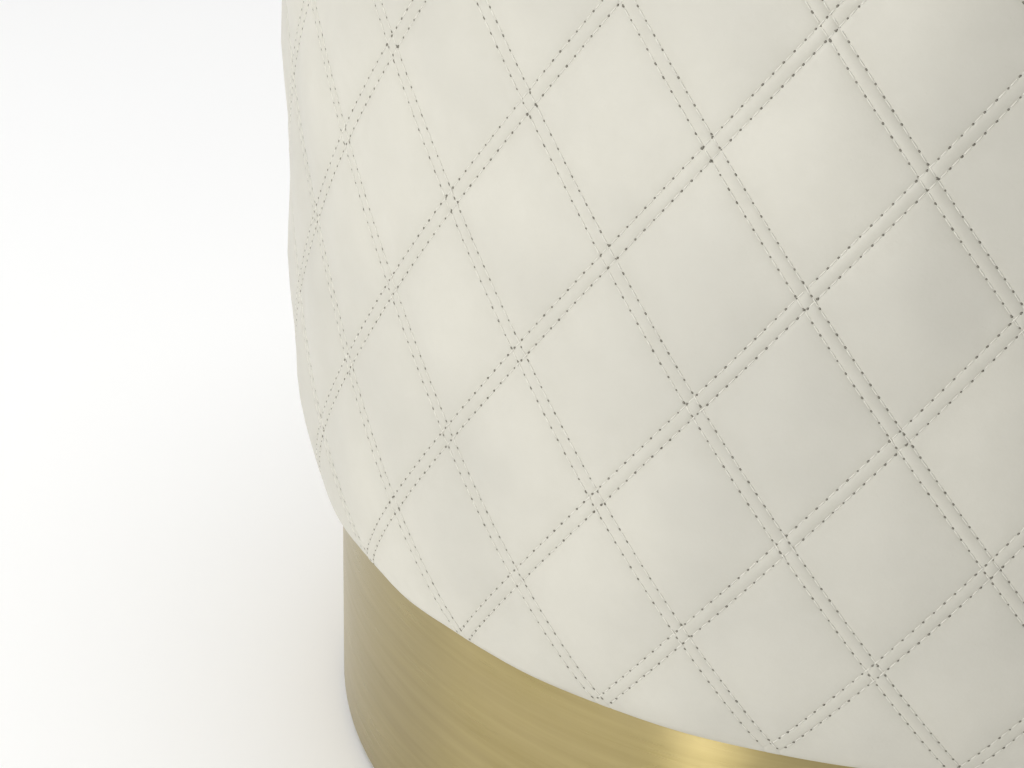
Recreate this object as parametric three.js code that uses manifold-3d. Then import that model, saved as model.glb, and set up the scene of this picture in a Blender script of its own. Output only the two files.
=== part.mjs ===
// A round upholstered pouf. A drum of quilted leather over a foam-wrapped plywood barrel is bolted to a
// plinth of two plywood discs wrapped in brushed brass sheet. Millimetres, +Z up, with the origin on the
// floor at the middle of the drum. The quilting is the mean surface here: its relief and its stitches are
// finer than these solids go.

import * as THREE from "three";
import { mergeVertices } from "three/addons/utils/BufferGeometryUtils.js";
import Module from "manifold-3d";

// Whole object
const TOTAL_HEIGHT = 450;
const FIT_GAP = 0.3; // between neighbouring pieces
const ROUND_SEGMENTS = 48; // round the drum
const GLIDE_SEGMENTS = 20;
const SMALL_SEGMENTS = 12; // round a bolt, washer, nut or screw
const ROLL_STEPS = 4; // points along the side panel's turned lower edge
const SEAM_STEPS = 3; // and along its curve at the top seam
const CROWN_STEPS = 7; // from the crown's middle to its rim

// Quilted side panel
const PANEL_RADIUS = 221.8; // at the stitch lines
const PILLOW_RISE = 3.2; // outermost leather, beyond the stitch lines
const COVER_FOOT_Z = 109;
const FOOT_ROLL = 8; // radius of the panel's turned lower edge
const SEAM_Z = 416.5; // top edge of the side panel: four whole diamonds above its foot
const SEAM_DRAW_IN = 2.2; // how much narrower the panel is at its top seam
const SEAM_DRAW_HEIGHT = 14;
const COVER_THICKNESS = 1.2; // at the stitch lines, and in the hem
const HEM_INNER_RADIUS = 170;

// Top
const TOP_COVER_RADIUS = 217.5;
const TOP_COVER_THICKNESS = 3;
const CROWN_POWER = 2.4;
const WELT_RADIUS = 3.5;
const WELT_RING_RADIUS = 219.3;
const WELT_SEGMENTS = 10;
const TOP_WADDING_RADIUS = 213;
const TOP_WADDING_THICKNESS = 3;
const TOP_FOAM_RADIUS = 208;

// Barrel under the upholstery
const BARREL_RADIUS = 208.3;
const BARREL_THICKNESS = 3;
const FRAME_BOARD_THICKNESS = 18;
const FRAME_TOP_THICKNESS = 15;
const FRAME_TOP_Z = 401; // upper face of the board under the seat foam
const SIDE_WADDING_THICKNESS = 2.5;
const SIDE_WADDING_TOP = 413;
const SIDE_FOAM_TOP = 411;
const POST_SIZE = 36;
const POST_RING_RADIUS = 168;
const SUPPORT_COUNT = 6; // posts, blocks and glides stand above each other
const SUPPORT_FIRST_ANGLE = 30;

// Plinth
const BAND_RADIUS = 204.5;
const BAND_THICKNESS = 1.5;
const BAND_FOOT_Z = 4;
const BAND_FLANGE_WIDTH = 18;
const BAND_SEAM_WIDTH = 0.4;
const PLINTH_BOARD_THICKNESS = 18;
const BLOCK_SIZE = 45;
const BLOCK_RING_RADIUS = 168;

// Glides and screws
const GLIDE_RING_RADIUS = 165;
const GLIDE_RADIUS = 16;
const GLIDE_HOLE_RADIUS = 2.4;
const GLIDE_SINK_RADIUS = 5.2;
const GLIDE_SINK_DEPTH = 2.4;
const GLIDE_SCREW = { headRadius: 4.6, headHeight: 1.4, headZ: 0.7, shaftRadius: 2, length: 17 };
const BAND_SCREW = { headRadius: 3.5, headHeight: 1.6, headZ: 2.1, shaftRadius: 1.6, length: 14 };
const BAND_SCREW_RING_RADIUS = 195;
const BAND_SCREW_HOLE_RADIUS = 2;
const SCREW_POINT = 3; // length of a screw's taper

// Body bolts
const BOLT_COUNT = 4;
const BOLT_FIRST_ANGLE = 45;
const BOLT_RING_RADIUS = 120;
const BOLT_RADIUS = 4;
const BOLT_HEAD_RADIUS = 6.5;
const BOLT_HEAD_HEIGHT = 8;
const BOLT_SOCKET_RADIUS = 3.4;
const BOLT_SOCKET_DEPTH = 4;
const BOLT_HOLE_RADIUS = 4.6;
const BOLT_TOP_Z = 134;
const SINK_RADIUS = 12; // of the recess that hides a bolt's head
const SINK_DEPTH = 11;
const WASHER_RADIUS = 11;
const WASHER_BORE_RADIUS = 4.4;
const WASHER_THICKNESS = 1.2;
const TEE_BORE_RADIUS = 4.3;
const TEE_BARREL_RADIUS = 5.4;
const TEE_BARREL_LENGTH = 9;
const TEE_FLANGE_RADIUS = 11;
const TEE_FLANGE_THICKNESS = 1.5;
const COVER_HOLE_RADIUS = 6; // in the dust cover

// Levels, from the floor up
const BAND_FLANGE_TOP = BAND_FOOT_Z + BAND_THICKNESS;
const BOTTOM_BOARD_Z = BAND_FLANGE_TOP + FIT_GAP;
const BOTTOM_BOARD_TOP = BOTTOM_BOARD_Z + PLINTH_BOARD_THICKNESS;
const TOP_BOARD_TOP = COVER_FOOT_Z - FIT_GAP;
const TOP_BOARD_Z = TOP_BOARD_TOP - PLINTH_BOARD_THICKNESS;
const FRAME_BOARD_Z = COVER_FOOT_Z + COVER_THICKNESS + FIT_GAP;
const FRAME_BOARD_TOP = FRAME_BOARD_Z + FRAME_BOARD_THICKNESS;
const FRAME_TOP_BOARD_Z = FRAME_TOP_Z - FRAME_TOP_THICKNESS;
const TOP_RIM_Z = SEAM_Z + 2 * (WELT_RADIUS + FIT_GAP);
const CROWN_DROP = TOTAL_HEIGHT - TOP_RIM_Z - TOP_COVER_THICKNESS; // the crown's middle above its rim
const PLINTH_BOARD_RADIUS = BAND_RADIUS - BAND_THICKNESS - FIT_GAP;
const FRAME_BOARD_RADIUS = BARREL_RADIUS - BARREL_THICKNESS - FIT_GAP;

const wasm = await Module();
wasm.setup();

const pouf = new THREE.Group();

// Materials

function material(colour, roughness, metalness = 0) {
  return new THREE.MeshStandardMaterial({ color: colour, roughness, metalness });
}

const leather = () => material(0xdbd7ca, 0.5);
const brass = () => material(0xb8a566, 0.35, 1);
const plywood = () => material(0xc9a878, 0.7);
const pine = () => material(0xd9b987, 0.75);
const foam = () => material(0xe9e2c4, 0.95);
const wadding = () => material(0xf2f2ee, 1);
const nonWoven = () => material(0x24242a, 0.95);
const nylon = () => material(0x3a3632, 0.6);
const steel = () => material(0xb9bbbd, 0.35, 1);

// Geometry

// Turns an outline of [radius, height] points about the Z axis. An outline that doesn't start on the
// axis is closed into a ring. Outlines run up their outer side.
function revolve(outline, segments = ROUND_SEGMENTS) {
  const points = outline.map(([radius, height]) => new THREE.Vector2(radius, height));
  if (outline[0][0] > 0) {
    points.push(points[0].clone());
  }
  const turned = new THREE.LatheGeometry(points, segments);
  turned.rotateX(Math.PI / 2);
  return turned;
}

function disc(radius, low, high) {
  return revolve([[0, low], [radius, low], [radius, high], [0, high]]);
}

function ring(inner, outer, low, high, segments) {
  return revolve([[inner, low], [outer, low], [outer, high], [inner, high]], segments);
}

function cylinder(radius, low, high, segments = SMALL_SEGMENTS) {
  const made = new THREE.CylinderGeometry(radius, radius, high - low, segments);
  made.rotateX(Math.PI / 2);
  made.translate(0, 0, (low + high) / 2);
  return made;
}

function box(width, depth, low, high) {
  const made = new THREE.BoxGeometry(width, depth, high - low);
  made.translate(0, 0, (low + high) / 2);
  return made;
}

function toSolid(geometry) {
  const bare = geometry.clone();
  bare.deleteAttribute("normal");
  bare.deleteAttribute("uv");
  const merged = mergeVertices(bare);
  const corners = merged.index.array;
  const kept = [];
  for (let i = 0; i < corners.length; i += 3) {
    const [a, b, c] = [corners[i], corners[i + 1], corners[i + 2]];
    if (a !== b && b !== c && a !== c) {
      kept.push(a, b, c);
    }
  }
  const vertProperties = new Float32Array(merged.attributes.position.array);
  const triVerts = new Uint32Array(kept);
  return new wasm.Manifold(new wasm.Mesh({ numProp: 3, vertProperties, triVerts }));
}

function cut(geometry, tools) {
  let solid = toSolid(geometry);
  for (const tool of tools) {
    solid = solid.subtract(toSolid(tool));
  }
  const mesh = solid.getMesh();
  const made = new THREE.BufferGeometry();
  made.setAttribute("position", new THREE.BufferAttribute(mesh.vertProperties, 3));
  made.setIndex(new THREE.BufferAttribute(mesh.triVerts, 1));
  made.computeVertexNormals();
  return made;
}

// Places spread evenly on a circle about the Z axis.
function aroundAxis(count, radius, firstAngle) {
  return Array.from({ length: count }, (_, i) => {
    const angle = THREE.MathUtils.degToRad(firstAngle + (i * 360) / count);
    return { x: radius * Math.cos(angle), y: radius * Math.sin(angle), angle };
  });
}

const supportPlaces = (radius) => aroundAxis(SUPPORT_COUNT, radius, SUPPORT_FIRST_ANGLE);
const boltPlaces = aroundAxis(BOLT_COUNT, BOLT_RING_RADIUS, BOLT_FIRST_ANGLE);

function drills(places, radius, low, high) {
  return places.map(({ x, y }) => cylinder(radius, low, high).translate(x, y, 0));
}

function addPiece(name, geometry, finish) {
  const mesh = new THREE.Mesh(geometry, finish);
  mesh.name = name;
  pouf.add(mesh);
  return mesh;
}

// One mesh at each place, named stem_1, stem_2 and so on, and turned to face away from the axis.
function addPieces(stem, places, geometry, finish) {
  places.forEach(({ x, y, angle }, i) => {
    const mesh = addPiece(`${stem}_${i + 1}`, geometry(), finish());
    mesh.position.set(x, y, 0);
    mesh.rotation.z = angle;
  });
}

function steps(from, to, count) {
  return Array.from({ length: count + 1 }, (_, i) => from + ((to - from) * i) / count);
}

// Radius of the side panel's stitch lines at a height.
function panelRadius(height) {
  const seam = Math.max(0, 1 - (SEAM_Z - height) / SEAM_DRAW_HEIGHT);
  return PANEL_RADIUS - SEAM_DRAW_IN * seam ** 2;
}

// Height of the top cover's outer face at a radius.
function crownHeight(radius) {
  return TOTAL_HEIGHT - CROWN_DROP * (radius / TOP_COVER_RADIUS) ** CROWN_POWER;
}

// Outline of a surface that follows the side panel at an offset beyond its stitch lines, from the
// turned edge under the body up to a height.
function panelOutline(offset, high) {
  const roll = FOOT_ROLL + offset;
  const rollAxis = PANEL_RADIUS - FOOT_ROLL;
  const foot = steps(0, Math.PI / 2, ROLL_STEPS).map((turn) => [
    rollAxis + roll * Math.sin(turn),
    COVER_FOOT_Z + FOOT_ROLL - roll * Math.cos(turn),
  ]);
  const wall = steps(SEAM_Z - SEAM_DRAW_HEIGHT, high, SEAM_STEPS).map((z) => [panelRadius(z) + offset, z]);
  return [...foot, ...wall];
}

// A dome that follows the crown, from one depth below its outer face down to another.
function crownLayer(radius, upperDepth, lowerDepth) {
  const radii = steps(0, radius, CROWN_STEPS);
  const lower = radii.map((r) => [r, crownHeight(r) - lowerDepth]);
  const upper = radii.map((r) => [r, crownHeight(r) - upperDepth]).reverse();
  return revolve([...lower, ...upper]);
}

// Plinth

function plinthBand() {
  const inner = BAND_RADIUS - BAND_THICKNESS;
  const flangeInner = BAND_RADIUS - BAND_FLANGE_WIDTH;
  const sheet = revolve([
    [flangeInner, BAND_FOOT_Z],
    [BAND_RADIUS, BAND_FOOT_Z],
    [BAND_RADIUS, TOP_BOARD_TOP],
    [inner, TOP_BOARD_TOP],
    [inner, BAND_FLANGE_TOP],
    [flangeInner, BAND_FLANGE_TOP],
  ]);
  const seam = box(BAND_SEAM_WIDTH, 2 * BAND_FLANGE_WIDTH, 0, COVER_FOOT_Z + 1);
  seam.translate(0, BAND_RADIUS - BAND_FLANGE_WIDTH / 2, 0);
  const holes = drills(
    supportPlaces(BAND_SCREW_RING_RADIUS),
    BAND_SCREW_HOLE_RADIUS,
    BAND_FOOT_Z - 1,
    BAND_FLANGE_TOP + 1,
  );
  return cut(sheet, [seam, ...holes]);
}

function plinthBottomBoard() {
  const board = disc(PLINTH_BOARD_RADIUS, BOTTOM_BOARD_Z, BOTTOM_BOARD_TOP);
  const glideScrewTop = GLIDE_SCREW.headZ + GLIDE_SCREW.headHeight + GLIDE_SCREW.length;
  const bandScrewTop = BAND_SCREW.headZ + BAND_SCREW.headHeight + BAND_SCREW.length;
  return cut(board, [
    ...drills(
      supportPlaces(GLIDE_RING_RADIUS),
      GLIDE_SCREW.shaftRadius + FIT_GAP,
      0,
      glideScrewTop + FIT_GAP,
    ),
    ...drills(
      supportPlaces(BAND_SCREW_RING_RADIUS),
      BAND_SCREW.shaftRadius + FIT_GAP,
      0,
      bandScrewTop + FIT_GAP,
    ),
    ...drills(boltPlaces, BOLT_HOLE_RADIUS, 0, BOTTOM_BOARD_TOP + 1),
    ...drills(boltPlaces, SINK_RADIUS, 0, BOTTOM_BOARD_Z + SINK_DEPTH),
  ]);
}

function plinthTopBoard() {
  const board = disc(PLINTH_BOARD_RADIUS, TOP_BOARD_Z, TOP_BOARD_TOP);
  return cut(board, drills(boltPlaces, BOLT_HOLE_RADIUS, TOP_BOARD_Z - 1, TOP_BOARD_TOP + 1));
}

function plinthBlock() {
  return box(BLOCK_SIZE, BLOCK_SIZE, BOTTOM_BOARD_TOP + FIT_GAP, TOP_BOARD_Z - FIT_GAP);
}

function glide() {
  const outline = [
    [GLIDE_HOLE_RADIUS, GLIDE_SINK_DEPTH],
    [GLIDE_SINK_RADIUS, GLIDE_SINK_DEPTH],
    [GLIDE_SINK_RADIUS, 0],
    [GLIDE_RADIUS - 1, 0],
    [GLIDE_RADIUS, 1],
    [GLIDE_RADIUS, BAND_FLANGE_TOP],
    [GLIDE_HOLE_RADIUS, BAND_FLANGE_TOP],
  ];
  return revolve(outline, GLIDE_SEGMENTS);
}

// A screw driven upwards, with its head lowest.
function screw({ headRadius, headHeight, headZ, shaftRadius, length }) {
  const underHead = headZ + headHeight;
  const tip = underHead + length;
  const outline = [
    [0, headZ],
    [headRadius, headZ],
    [headRadius, underHead],
    [shaftRadius, underHead],
    [shaftRadius, tip - SCREW_POINT],
    [0, tip],
  ];
  return revolve(outline, SMALL_SEGMENTS);
}

// Bolts that hold the body on the plinth

const washerTop = BOTTOM_BOARD_Z + SINK_DEPTH - FIT_GAP;
const boltHeadTop = washerTop - WASHER_THICKNESS - FIT_GAP;

function bodyBolt() {
  const headZ = boltHeadTop - BOLT_HEAD_HEIGHT;
  const outline = [
    [0, headZ],
    [BOLT_HEAD_RADIUS, headZ],
    [BOLT_HEAD_RADIUS, boltHeadTop],
    [BOLT_RADIUS, boltHeadTop],
    [BOLT_RADIUS, BOLT_TOP_Z],
    [0, BOLT_TOP_Z],
  ];
  const hexagon = 6;
  const socket = cylinder(BOLT_SOCKET_RADIUS, headZ - 1, headZ + BOLT_SOCKET_DEPTH, hexagon);
  return cut(revolve(outline, SMALL_SEGMENTS), [socket]);
}

function boltWasher() {
  return ring(WASHER_BORE_RADIUS, WASHER_RADIUS, washerTop - WASHER_THICKNESS, washerTop, SMALL_SEGMENTS);
}

function teeNut() {
  const flangeZ = FRAME_BOARD_TOP + FIT_GAP;
  const outline = [
    [TEE_BORE_RADIUS, flangeZ - TEE_BARREL_LENGTH],
    [TEE_BARREL_RADIUS, flangeZ - TEE_BARREL_LENGTH],
    [TEE_BARREL_RADIUS, flangeZ],
    [TEE_FLANGE_RADIUS, flangeZ],
    [TEE_FLANGE_RADIUS, flangeZ + TEE_FLANGE_THICKNESS],
    [TEE_BORE_RADIUS, flangeZ + TEE_FLANGE_THICKNESS],
  ];
  return revolve(outline, SMALL_SEGMENTS);
}

// Barrel

function frameBottomBoard() {
  const board = disc(FRAME_BOARD_RADIUS, FRAME_BOARD_Z, FRAME_BOARD_TOP);
  const holeRadius = TEE_BARREL_RADIUS + FIT_GAP;
  return cut(board, drills(boltPlaces, holeRadius, FRAME_BOARD_Z - 1, FRAME_BOARD_TOP + 1));
}

function frameTopBoard() {
  return disc(FRAME_BOARD_RADIUS, FRAME_TOP_BOARD_Z, FRAME_TOP_Z);
}

function post() {
  return box(POST_SIZE, POST_SIZE, FRAME_BOARD_TOP + FIT_GAP, FRAME_TOP_BOARD_Z - FIT_GAP);
}

function barrelSkin() {
  return ring(BARREL_RADIUS - BARREL_THICKNESS, BARREL_RADIUS, FRAME_BOARD_Z, FRAME_TOP_Z);
}

// Upholstery

const waddingOffset = COVER_THICKNESS + FIT_GAP;
const foamOffset = waddingOffset + SIDE_WADDING_THICKNESS + FIT_GAP;

function sideFoam() {
  const outer = panelOutline(-foamOffset, SIDE_FOAM_TOP);
  const inner = BARREL_RADIUS + FIT_GAP;
  return revolve([[inner, outer[0][1]], ...outer, [inner, SIDE_FOAM_TOP]]);
}

function sideWadding() {
  const outer = panelOutline(-waddingOffset, SIDE_WADDING_TOP);
  const inner = panelOutline(-waddingOffset - SIDE_WADDING_THICKNESS, SIDE_WADDING_TOP);
  return revolve([...outer, ...inner.reverse()]);
}

// The quilted panel, with its lower edge rolled under and hemmed below the barrel. The pillows start
// beyond the rolled edge.
function sideCover() {
  const pillows = panelOutline(PILLOW_RISE, SEAM_Z).filter(([, z]) => z > COVER_FOOT_Z);
  const back = panelOutline(-COVER_THICKNESS, SEAM_Z).reverse();
  return revolve([
    [HEM_INNER_RADIUS, COVER_FOOT_Z],
    [PANEL_RADIUS - FOOT_ROLL, COVER_FOOT_Z],
    ...pillows,
    ...back,
    [HEM_INNER_RADIUS, COVER_FOOT_Z + COVER_THICKNESS],
  ]);
}

function topFoam() {
  const radii = steps(0, TOP_FOAM_RADIUS, CROWN_STEPS);
  const depth = TOP_COVER_THICKNESS + TOP_WADDING_THICKNESS + 2 * FIT_GAP;
  const upper = radii.map((r) => [r, crownHeight(r) - depth]).reverse();
  const foot = FRAME_TOP_Z + FIT_GAP;
  return revolve([[0, foot], [TOP_FOAM_RADIUS, foot], ...upper]);
}

function topWadding() {
  const depth = TOP_COVER_THICKNESS + FIT_GAP;
  return crownLayer(TOP_WADDING_RADIUS, depth, depth + TOP_WADDING_THICKNESS);
}

function topCover() {
  return crownLayer(TOP_COVER_RADIUS, 0, TOP_COVER_THICKNESS);
}

function weltCord() {
  const centreZ = SEAM_Z + FIT_GAP + WELT_RADIUS;
  const turns = steps(0, 2 * Math.PI, WELT_SEGMENTS).slice(0, WELT_SEGMENTS);
  return revolve(
    turns.map((turn) => [
      WELT_RING_RADIUS + WELT_RADIUS * Math.cos(turn),
      centreZ + WELT_RADIUS * Math.sin(turn),
    ]),
  );
}

function dustCover() {
  const cloth = disc(HEM_INNER_RADIUS - FIT_GAP, COVER_FOOT_Z, COVER_FOOT_Z + COVER_THICKNESS);
  return cut(cloth, drills(boltPlaces, COVER_HOLE_RADIUS, COVER_FOOT_Z - 1, FRAME_BOARD_Z));
}

// Assembly

addPiece("plinth_band", plinthBand(), brass());
addPiece("plinth_bottom_board", plinthBottomBoard(), plywood());
addPiece("plinth_top_board", plinthTopBoard(), plywood());
addPieces("plinth_block", supportPlaces(BLOCK_RING_RADIUS), plinthBlock, pine);
addPieces("glide", supportPlaces(GLIDE_RING_RADIUS), glide, nylon);
addPieces("glide_screw", supportPlaces(GLIDE_RING_RADIUS), () => screw(GLIDE_SCREW), steel);
addPieces("band_screw", supportPlaces(BAND_SCREW_RING_RADIUS), () => screw(BAND_SCREW), brass);
addPieces("body_bolt", boltPlaces, bodyBolt, steel);
addPieces("bolt_washer", boltPlaces, boltWasher, steel);
addPieces("tee_nut", boltPlaces, teeNut, steel);
addPiece("frame_bottom_board", frameBottomBoard(), plywood());
addPiece("frame_top_board", frameTopBoard(), plywood());
addPieces("post", supportPlaces(POST_RING_RADIUS), post, pine);
addPiece("barrel_skin", barrelSkin(), plywood());
addPiece("side_foam", sideFoam(), foam());
addPiece("side_wadding", sideWadding(), wadding());
addPiece("side_cover", sideCover(), leather());
addPiece("top_foam", topFoam(), foam());
addPiece("top_wadding", topWadding(), wadding());
addPiece("top_cover", topCover(), leather());
addPiece("welt_cord", weltCord(), leather());
addPiece("dust_cover", dustCover(), nonWoven());

export default pouf;
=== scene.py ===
"""Looks for a round pouf of quilted leather on a brass plinth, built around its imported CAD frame."""

import math

import bpy
import numpy as np
from mathutils import Matrix, Vector


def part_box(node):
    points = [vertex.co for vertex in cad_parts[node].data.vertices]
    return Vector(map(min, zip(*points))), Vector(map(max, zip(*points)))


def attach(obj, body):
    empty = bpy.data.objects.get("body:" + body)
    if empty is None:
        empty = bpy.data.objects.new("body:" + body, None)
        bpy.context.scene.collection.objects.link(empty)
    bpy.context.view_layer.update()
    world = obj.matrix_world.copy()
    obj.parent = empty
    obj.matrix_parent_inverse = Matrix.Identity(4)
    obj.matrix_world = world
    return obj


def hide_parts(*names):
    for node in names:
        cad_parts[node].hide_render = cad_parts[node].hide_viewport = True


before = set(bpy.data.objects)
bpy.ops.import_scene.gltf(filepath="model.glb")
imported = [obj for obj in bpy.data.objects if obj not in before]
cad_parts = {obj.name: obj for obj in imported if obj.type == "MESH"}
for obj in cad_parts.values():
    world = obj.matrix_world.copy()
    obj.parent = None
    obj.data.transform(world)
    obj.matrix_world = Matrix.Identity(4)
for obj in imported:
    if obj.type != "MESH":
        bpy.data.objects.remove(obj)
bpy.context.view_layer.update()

MM = 0.001
BODY = "root"


# Sizes, in metres. What the CAD model states comes from its nodes' boxes.

side_low, side_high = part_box("side_cover")
top_low, top_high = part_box("top_cover")
welt_low, welt_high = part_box("welt_cord")
band_low, band_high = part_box("plinth_band")
_, dust_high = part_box("dust_cover")
_, barrel_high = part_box("barrel_skin")

# The quilting's lattice. A crossing of stitch lines lies wherever row and column are both even or both
# odd. The lattice coordinates p and q count the lines of the two families, so a diamond is a unit cell.
DIAMONDS_ROUND = 24
COLUMNS_ROUND = 2 * DIAMONDS_ROUND
COLUMN_STEP = math.pi / DIAMONDS_ROUND
LATTICE_TURN = math.radians(-21.9)  # where column 0 faces, from the front towards +X
SEAM_COLUMN = -21  # the closing seam's, nearest the back
ROWS = 8
FIT_GAP = 0.3 * MM
PILLOW_RISE = 2.9 * MM  # CAD's outermost leather, beyond the stitch lines
PANEL_RADIUS = side_high.x - PILLOW_RISE
FOOT_Z = side_low.z  # the body's underside
FOOT_SAG = 5.3 * MM  # of the foot's soft roll, below that
LOWEST_Z = FOOT_Z - FOOT_SAG
TUCK_IN = 12.2 * MM  # how far the wall curves in to its lowest point
TUCK_TOP = LOWEST_Z + 79.7 * MM  # where that long curve starts
SEAM_DRAW_IN = 2.2 * MM  # how much narrower the panel is at its top seam
SEAM_DRAW_HEIGHT = 14 * MM
FOOT_ROW_RISE = 4.7 * MM  # of row 0, along the leather from its lowest point


def wall_radius(height):
    """Radius of the side panel's stitch surface."""
    tuck = np.clip((TUCK_TOP - height) / (TUCK_TOP - LOWEST_Z), 0, 1)
    seam = np.maximum(1 - (side_high.z - height) / SEAM_DRAW_HEIGHT, 0)
    return PANEL_RADIUS - TUCK_IN * (1 - np.sqrt(1 - tuck**2)) - SEAM_DRAW_IN * seam**2


# The panel's section, closely sampled from its lowest point to the top seam.
SECTION_SAMPLES = 200
SECTION_Z = np.concatenate([
    TUCK_TOP - (TUCK_TOP - LOWEST_Z) * np.sin(np.linspace(math.pi / 2, 0, SECTION_SAMPLES)),
    np.linspace(TUCK_TOP, side_high.z, SECTION_SAMPLES)[1:],
])
SECTION_RADIUS = wall_radius(SECTION_Z)
SECTION_LENGTH = np.concatenate([[0], np.cumsum(np.hypot(np.diff(SECTION_RADIUS), np.diff(SECTION_Z)))])
FOOT_RADIUS = SECTION_RADIUS[0]
SECTION_OUT = np.gradient(SECTION_Z, SECTION_LENGTH)
SECTION_UP = -np.gradient(SECTION_RADIUS, SECTION_LENGTH)

ROW_STEP = (SECTION_LENGTH[-1] - FOOT_ROW_RISE) / ROWS
COLUMN_WIDTH = PANEL_RADIUS * COLUMN_STEP
DIAMOND_SIDE = math.hypot(COLUMN_WIDTH, ROW_STEP)
LINE_SPACING = 2 * COLUMN_WIDTH * ROW_STEP / DIAMOND_SIDE  # square across, between parallel lines

# Sewing
ROW_OFFSET = 2.0 * MM  # of each of a line's twin rows, from the line
STITCH_PITCH = 4.32 * MM
THREAD_RADIUS = 0.23 * MM
HOLE_RADIUS = 0.37 * MM
CROSSING_HOLE_RADIUS = 0.42 * MM  # where rows of both families share a hole
STITCH_CLEARANCE = 2.2 * MM  # of the last stitch from a seam

# Relief
PILLOW_HEIGHT = 1.5 * MM
PILLOW_SOFTNESS = 1.45  # above 1, the pillows rise more gently from their stitch lines
BAND_BULGE = 0.12 * MM  # of the leather between twin rows
CHANNEL_DEPTH = 0.2 * MM  # that the thread sinks in
CHANNEL_WIDTH = 0.42 * MM

# The simulated swatch that gives the pillows their shapes
SWATCH_CELLS = 4  # diamonds along each side
SWATCH_GRID = 24  # mesh cells across each diamond
SWATCH_SCALE = 5.0  # it is simulated this much larger than life
SWATCH_FRAMES = 24
SWATCH_PRESSURE = 6
SWATCH_UNEVENNESS = 0.2 * MM

# Mesh lines across half a diamond, as distances from its stitch line: close together at the sewing.
LINE_OFFSETS = [x * MM for x in (0, 1.15, 1.65, 2.0, 2.35, 3.4, 5.5, 9, 15)]


# Mesh and object helpers

def new_object(name, points, faces, material, smooth=True):
    mesh = bpy.data.meshes.new(name)
    mesh.from_pydata(np.asarray(points, float).tolist(), [], faces)
    mesh.polygons.foreach_set("use_smooth", [smooth] * len(mesh.polygons))
    if material is not None:
        mesh.materials.append(material)
    mesh.update()
    made = bpy.data.objects.new(name, mesh)
    bpy.context.scene.collection.objects.link(made)
    return made


def ring_points(angles, radius, height):
    return np.column_stack([radius * np.sin(angles), -radius * np.cos(angles), height + 0 * angles])


def band_faces(upper, lower):
    """Quads between two closed loops of point numbers that run anticlockwise seen from above."""
    count = len(upper)
    return [
        (lower[c], lower[(c + 1) % count], upper[(c + 1) % count], upper[c])
        for c in range(count)
    ]


def coarser_band(upper, picks, lower):
    """Faces from a fine loop down to a coarse one, whose points stand under the fine one's picked points."""
    faces = []
    for c, pick in enumerate(picks):
        following = picks[c + 1] if c + 1 < len(picks) else len(upper)
        above = [upper[n % len(upper)] for n in range(following, pick - 1, -1)]
        faces.append((lower[c], lower[(c + 1) % len(lower)], *above))
    return faces


def smooth_step(x):
    x = np.clip(x, 0, 1)
    return x * x * (3 - 2 * x)


# The quilting

LINE_POSITIONS = [x / LINE_SPACING for x in LINE_OFFSETS]
LINES_PER_DIAMOND = 2 * len(LINE_POSITIONS)
ONE_DIAMOND = np.array(LINE_POSITIONS + [0.5] + [1 - x for x in LINE_POSITIONS[:0:-1]])


def lattice_position(line):
    """Lattice coordinate of a mesh line, by its number."""
    return line // LINES_PER_DIAMOND + ONE_DIAMOND[line % LINES_PER_DIAMOND]


def scatter(a, b):
    """A fixed random number from 0 to 1 for each pair of whole numbers."""
    return np.modf(np.abs(np.sin(a * 12.9898 + b * 78.233) * 43758.5453))[0]


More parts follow.
